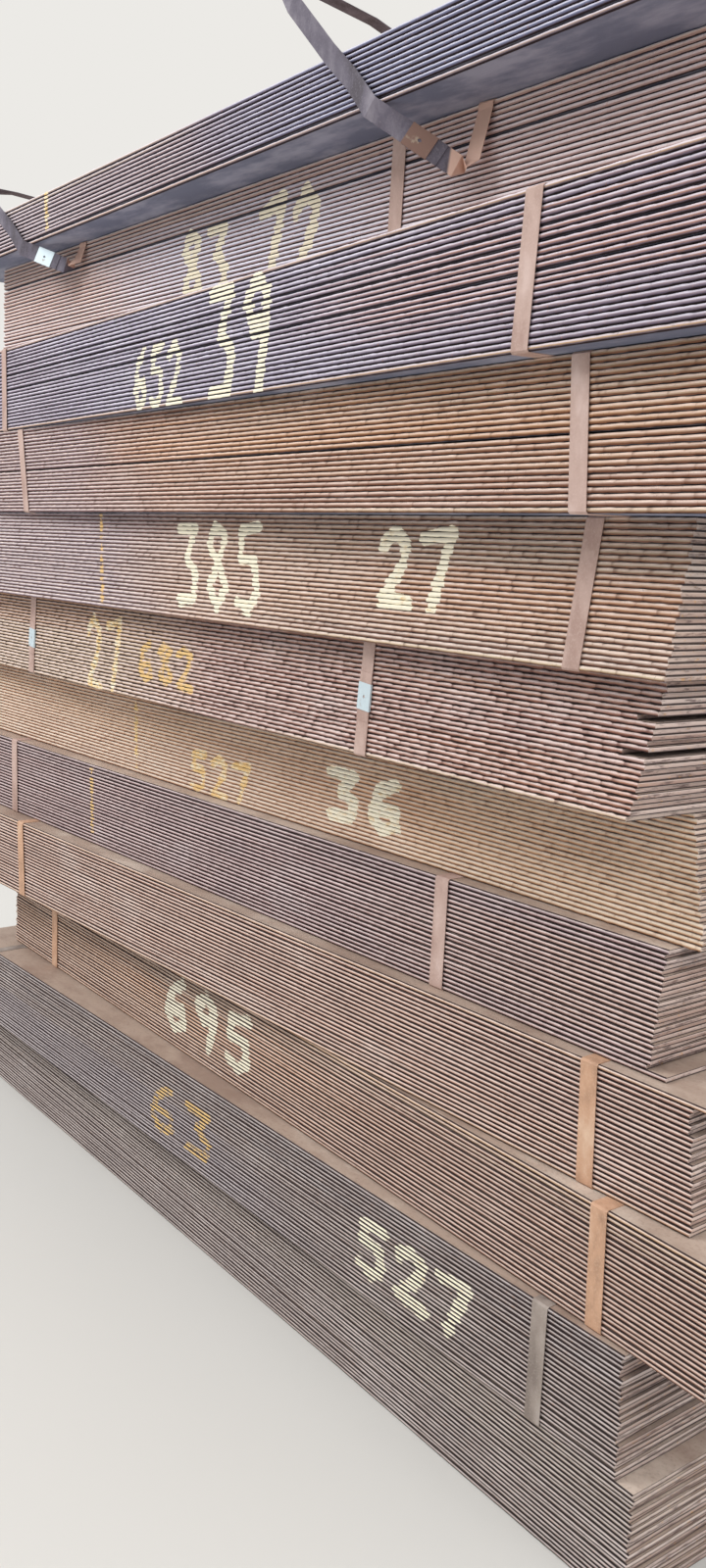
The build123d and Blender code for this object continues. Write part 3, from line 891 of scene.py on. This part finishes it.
# %% Grounds and glazes of the bundles
ALL = (-FAR, FAR)
LOOKS = {  # ground, groove, scallop and glazes: colour, strength, from X to X, from row to row in shares
    "bundle_01": ("grey", 0.48, 0.05, [("olive", 0.3, *ALL, 0.6, FAR)]),
    "bundle_02": ("grey", 0.44, 0.05, [("blue", 0.3, -FAR, 0.3, -FAR, 0.6), ("shade", 0.4, *ALL, 0.85, FAR)]),
    "bundle_03": ("brown", 0.50, 0.05, [
        ("olive", 0.4, *ALL, 0.8, FAR), ("tan", 0.3, -FAR, 0.5, 0.35, 0.8),
        ("orange", 0.35, -0.5, 0.6, 0.4, 0.75), ("purple", 0.55, 0.3, FAR, -FAR, 0.9),
        ("tan", 0.6, *ALL, 0.98, FAR),
    ]),
    "bundle_04": ("pink", 0.51, 0.06, [
        ("purple", 0.4, 0.7, FAR, 0.3, FAR), ("tan", 0.5, *ALL, -FAR, 0.02),
        ("tan", 0.5, *ALL, 0.98, FAR),
    ]),
    "bundle_05": ("purple", 0.50, 0.10, [
        ("blue", 0.3, *ALL, *ALL), ("shade", 0.45, *ALL, 0.92, FAR),
        ("tan", 0.35, 0.7, FAR, 0.1, 0.8),
    ]),
    # The light sand ground partly paints light onto this bundle, which lies back in the shade of the bundle
    # above.
    "bundle_06": ("sand", 0.72, 0.26, [
        ("purple", 0.4, -FAR, 0.3, -FAR, 0.5), ("cream", 0.4, 0.6, FAR, *ALL),
        ("orange", 0.3, 0.3, 1.0, 0.2, 0.65), ("olive", 0.4, -0.2, 0.9, 0.8, FAR),
        ("cream", 0.5, 0.5, FAR, 0.98, FAR),
    ]),
    "bundle_07": ("purple", 0.52, 0.44, [
        ("cream", 0.75, -FAR, -0.2, *ALL), ("orange", 0.45, -FAR, -0.4, 0.6, FAR),
        ("tan", 0.35, *ALL, 0.8, 0.92), ("orange", 0.3, 0.8, FAR, -FAR, 0.4),
        ("cream", 0.7, 0.4, FAR, -FAR, 0.02),
    ]),
    "bundle_08": ("pink", 0.71, 0.42, [
        ("cream", 0.35, *ALL, *ALL), ("blue", 0.7, -FAR, -0.1, *ALL),
        ("olive", 0.45, 0.3, FAR, 0.6, FAR), ("orange", 0.45, 0.45, FAR, 0.25, 0.6),
        ("shade", 0.6, *ALL, 0.94, FAR), ("shade", 0.4, 0.3, FAR, -FAR, 0.08),
        ("cream", 0.85, 0.4, FAR, -FAR, 0.02),
    ]),
    "bundle_09": ("brown", 0.72, 0.34, [
        ("orange", 0.4, -0.3, 1.2, 0.45, 0.8), ("tan", 0.3, 0.0, FAR, 0.25, 0.85),
        ("purple", 0.5, -0.2, FAR, -FAR, 0.35), ("blue", 0.65, -FAR, -0.3, *ALL),
        ("shade", 0.5, -FAR, 0.3, 0.88, FAR), ("olive", 0.5, 0.2, FAR, 0.82, FAR),
        ("cream", 0.6, 0.4, FAR, -FAR, 0.02),
    ]),
    "bundle_10": ("blue", 0.58, 0.14, [
        ("purple", 0.3, -FAR, -0.4, *ALL), ("purple", 0.45, 0.8, FAR, *ALL),
        ("orange", 0.5, 0.6, FAR, 0.35, 0.85), ("tan", 0.7, *ALL, 0.98, FAR),
        ("tan", 0.85, *ALL, -FAR, 0.02),
    ]),
    # The pale ground and the pale blue and rose glazes partly paint light onto this bundle, which lies in the
    # shade of the bundle above.
    "bundle_11": ("pale", 0.79, 0.1, [
        ("olive", 0.4, -FAR, 0.3, 0.75, FAR), ("orange", 0.3, -FAR, 0.0, 0.35, 0.7),
        ("tan", 0.3, 0.5, FAR, 0.7, FAR), ("scale_blue_and_painted_light", 0.85, -0.3, 0.6, -FAR, 0.85),
        ("rose_and_painted_light", 0.7, 0.55, FAR, -FAR, 0.9),
    ]),
    "bundle_12": ("blue", 0.63, 0.08, [
        ("tan", 0.45, -FAR, 0.1, *ALL), ("purple", 0.3, -0.4, 0.6, *ALL),
        ("cream", 0.5, -FAR, 0.0, 0.8, FAR), ("steel", 0.75, 0.25, FAR, *ALL),
        ("shade", 0.3, 0.2, FAR, *ALL), ("tan", 0.6, *ALL, -FAR, 0.02),
    ]),
}

# %% Dress the bundles
for order, (name, piece) in enumerate(bundle_pieces.items()):
    piece.data.materials.clear()
    piece.data.materials.append(rusted_plate(name, *LOOKS[name], seed=order + 1.0))
    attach(piece, "root")
    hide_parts(name)
print("dressed", len(bundle_pieces), "bundles")

# %% [markdown]
# Steel strapping is a thin cold-rolled band. Left outside it turns an even tan-brown with lighter clouds,
# since it has no mill scale that could flake. The two slack straps are newer and still blue-grey, with a
# warmer inner face where they fold back. The frame's bands already have the right shape, so they only get
# their steel.

# %% Strapping
STRAP_COLOURS = {
    "tan": ("#b08a70", "#cda284", "#e0bfa4"),
    "brown": ("#b09287", "#c4a89d", "#d6bdb4"),
    "grey": ("#857870", "#9f9289", "#b8aca4"),
    "slack": ("#47404a", "#615b69", "#86808a"),
}
SLACK_INSIDE = "#cfab9a"
STRAP_CLOUD = (50 * MM, 5, 0.6, (1, 1, 2.0))  # patches of rust, longer than the band is wide
STRAP_GRAIN = (3 * MM, 3, 0.6, (1, 1, 1))  # rust grains, ten times coarser than real
STRAP_LAYERS = [
    ("cloud", 0.35, 0.55, 1.0, "middle"),
    ("cloud", 0.52, 0.72, 1.0, "light"),
    ("grain", 0.5, 0.7, 0.35, "light"),
]
STRAP_ROUGHNESS = 0.7
GRAIN_STRENGTH = 0.3
GRAIN_HEIGHT = 0.8 * MM
FOLD_SOFTNESS = 4 * MM


def strap_steel(name, look, inside_from=None):
    """Rusted strapping. From a place along X on, a slack strap shows its warmer inner face."""
    material, add = new_material(name)
    tints = dict(zip(TONES, map(colour, STRAP_COLOURS[look])))
    place = add("TexCoord").outputs["Object"]
    by = {"cloud": pattern(add, place, *STRAP_CLOUD), "grain": pattern(add, place, *STRAP_GRAIN)}
    body = lay_all(add, tints["dark"], STRAP_LAYERS, by, tints)
    if inside_from is not None:
        along = add("SeparateXYZ", Vector=place).outputs["X"]
        body = lay(add, body, colour(SLACK_INSIDE), 1.0, along, inside_from, inside_from + FOLD_SOFTNESS)
    bump = add("Bump", Strength=GRAIN_STRENGTH, Distance=GRAIN_HEIGHT, Height=by["grain"])
    shader = add("BsdfPrincipled", Base_Color=body, Roughness=STRAP_ROUGHNESS, Normal=bump)
    add("OutputMaterial", Surface=shader)
    return material


# %% [markdown]
# A seal is a short sleeve of zinc coated sheet steel, crimped over both ends of a strap. It stays pale and a
# little shiny, with brown runs from the steel round it, and one has lost its zinc and is brown all over.
# Bright metal would be wrong here: weathered zinc is a chalky coat, so little of it is metallic.

# %% Seals
ZINC = "#cfdfe6"
ZINC_STAIN = "#9c8a7a"
SEAL_RUST = "#7d5f54"
STAIN = (20 * MM, 4, 0.6, (1, 1, 1))
ZINC_STAIN_FROM, RUST_STAIN_FROM = 0.6, 0.55
STAIN_SOFTNESS = 0.12
SEAL_METALLIC = 0.2
SEAL_ROUGHNESS = 0.5


def seal_steel(name, base, stain_from):
    """A crimped seal, stained where its pattern is above stain_from."""
    material, add = new_material(name)
    stain = pattern(add, add("TexCoord").outputs["Object"], *STAIN)
    body = lay(add, colour(base), colour(ZINC_STAIN), 1.0, stain, stain_from, stain_from + STAIN_SOFTNESS)
    shader = add("BsdfPrincipled", Base_Color=body, Metallic=SEAL_METALLIC, Roughness=SEAL_ROUGHNESS)
    add("OutputMaterial", Surface=shader)
    return material


# %% [markdown]
# Which strap has which colour is read off the real stack. A list of all their names would say it too, but a
# name already tells a strap from a seal and gives its bundle, so only the odd ones are listed.

# %% Dress the straps and seals
ODD_STRAPS = {"02": "grey", "03": "tan", "04": "tan"}  # by their bundle; all others are brown
RUSTY_SEAL = "seal_12_right"
SLACK_STRAPS = ("strap_12_left", "strap_12_right")
SLACK_FOLD = 40 * MM  # from the end of a slack strap along X to where it folds back

steel = {look: strap_steel("cold_rolled_strapping_" + look, look) for look in ("tan", "brown", "grey")}
zinc_seal = seal_steel("zinc_coated_seal", ZINC, ZINC_STAIN_FROM)
rusty_seal = seal_steel("rusted_seal", SEAL_RUST, RUST_STAIN_FROM)
slack_steel = {
    name: strap_steel("cold_rolled_" + name, "slack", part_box(name)[1].x - SLACK_FOLD) for name in SLACK_STRAPS
}


def strap_look(name):
    """The finish of each strap and seal."""
    if name.startswith("seal"):
        return rusty_seal if name == RUSTY_SEAL else zinc_seal
    if name in SLACK_STRAPS:
        return slack_steel[name]
    return steel[ODD_STRAPS.get(name.split("_")[1], "brown")]


strap_names = [name for name in nodes if name.startswith(("strap", "seal"))]
for name in strap_names:
    nodes[name].data.materials.clear()
    nodes[name].data.materials.append(strap_look(name))
print("dressed", len(strap_names), "straps and seals")

# %% [markdown]
# The floor is a painted studio floor, quite matt, so wide that its edge is never seen. A curved backdrop
# would hide the horizon better, but the sky is as pale wherever the camera sees it.

# %% Floor
FLOOR_SIZE = 30.0
FLOOR_PALE = "#d9d7d2"
FLOOR_ROUGHNESS = 0.9

bpy.ops.object.select_all(action="DESELECT")
bpy.ops.mesh.primitive_plane_add(size=FLOOR_SIZE)
floor = bpy.context.object
floor.name = "floor"
material, add = new_material("painted_floor")
shader = add("BsdfPrincipled", Base_Color=colour(FLOOR_PALE), Roughness=FLOOR_ROUGHNESS)
add("OutputMaterial", Surface=shader)
floor.data.materials.append(material)
print("the floor is", FLOOR_SIZE, "m wide")

# %% [markdown]
# An overcast sky lights a yard from everywhere, a little stronger from above, which keeps the grooves dark
# and the lips pale. The world gives that light, while the camera, mirrors and glass see a plain backdrop, so
# that the picture's ground stays even. A sky picture would bring colours of its own into the rust.

# %% Sky
SKY_STRENGTH = 0.97
SKY_LOW, SKY_HIGH = "#a8a8ac", "#ffffff"
SKY_STEP = (-0.2, 0.9)  # how far up a direction points
BACKDROP = "#eceae6"

world = bpy.data.worlds.new("sky")
bpy.context.scene.world = world
world.use_nodes = True
world.node_tree.nodes.clear()
add = partial(add_node, world.node_tree)
direction = add("SeparateXYZ", Vector=add("TexCoord").outputs["Generated"])
overhead = add(STEP, direction.outputs["Z"], *SKY_STEP)
light_colour = add(MIX, overhead, colour(SKY_LOW), colour(SKY_HIGH))
light = add("Background", Color=light_colour, Strength=SKY_STRENGTH)
backdrop = add("Background", Color=colour(BACKDROP), Strength=1.0)
ray = add("LightPath").outputs
seen = add(LARGER, ray["Is Camera Ray"], ray["Is Transmission Ray"])
seen = add(LARGER, seen, ray["Is Glossy Ray"])
blend = add("MixShader", seen, light, backdrop)
add("OutputWorld", Surface=blend)
print("the sky's strength is", SKY_STRENGTH)

# %% [markdown]
# Sky alone leaves the beads flat. One wide lamp high on the left in front makes them stand out from their
# grooves, and two weaker ones keep the sheared ends and the back from going dark. A small lamp or a sun would
# draw hard shadows under every strap, and on a dull day there are none.

# %% Lamps
LAMP_SIZE = 2.5
LAMP_AIM = Vector((0.0, 0.0, 1.2))
LAMPS = {
    "key_lamp": ((-2.0, -4.0, 5.5), 178),
    "end_lamp": ((4.5, -1.0, 4.0), 78),
    "back_lamp": ((-1.0, 5.0, 4.5), 58),
}

for name, (place, watts) in LAMPS.items():
    lamp_data = bpy.data.lights.new(name, "AREA")
    lamp_data.shape = "RECTANGLE"
    lamp_data.size = LAMP_SIZE
    lamp_data.size_y = LAMP_SIZE
    lamp_data.energy = watts
    lamp = bpy.data.objects.new(name, lamp_data)
    lamp.location = place
    lamp.rotation_euler = (LAMP_AIM - lamp.location).to_track_quat("-Z", "Y").to_euler()
    bpy.context.scene.collection.objects.link(lamp)

bpy.context.scene.view_settings.view_transform = "Standard"
print(len(LAMPS), "lamps of", sum(watts for _, watts in LAMPS.values()), "W in all")
